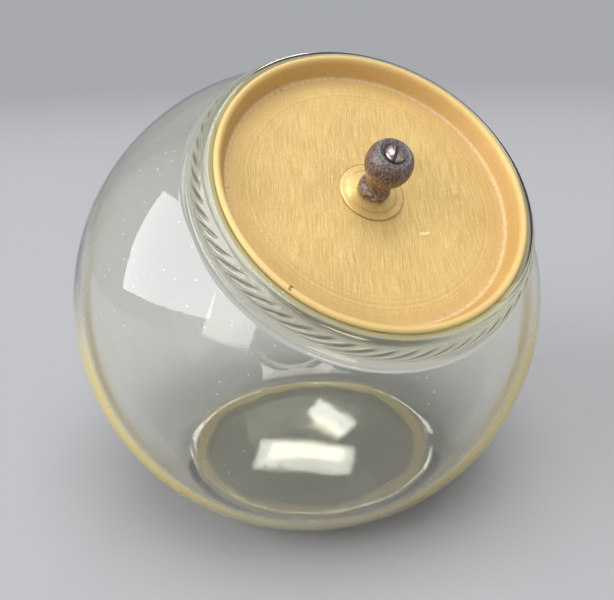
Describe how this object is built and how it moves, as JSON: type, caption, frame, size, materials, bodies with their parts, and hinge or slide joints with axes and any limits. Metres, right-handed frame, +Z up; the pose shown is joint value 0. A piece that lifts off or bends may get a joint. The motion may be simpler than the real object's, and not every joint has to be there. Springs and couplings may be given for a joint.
{
  "type": "slant mouth glass counter jar",
  "caption": "Glass globe counter jar with a slanted rope-edged mouth and a sunk gold-painted tin lid that lifts off by a turned wooden knob.",
  "frame": {"origin": "middle of the foot, on the surface that the jar stands on", "axes": "+Z up; the mouth leans towards -Y at 45 degrees; +X to the right of someone who faces the mouth"},
  "size_m": [0.24, 0.2453, 0.222],
  "materials": {
    "clear_glass": "clear moulded glass with a faint yellow-green tint at thick edges, small seeds and fine scratches",
    "gold_paint": "old gold paint on tin with fine parallel brush strokes, darker on the wall",
    "rosette_gold": "gold, glossier than the lid",
    "dark_wood": "dark stain with a dull sheen, worn to reddish brown at the waist",
    "screw_steel": "tarnished steel, bright on top of the head",
    "plain_steel": "dull plated steel"
  },
  "bodies": {
    "jar": {"jar_body": "clear_glass"},
    "lid": {"lid_pan": "gold_paint", "knob_rosette": "rosette_gold", "knob": "dark_wood", "knob_screw": "screw_steel", "lid_washer": "plain_steel", "lid_nut": "plain_steel"}
  },
  "joints": [
    {"name": "lid_lift", "type": "slide", "parent": "jar", "child": "lid", "axis": [0, -0.7071, 0.7071], "range_m": [0, 0.08]}
  ]
}
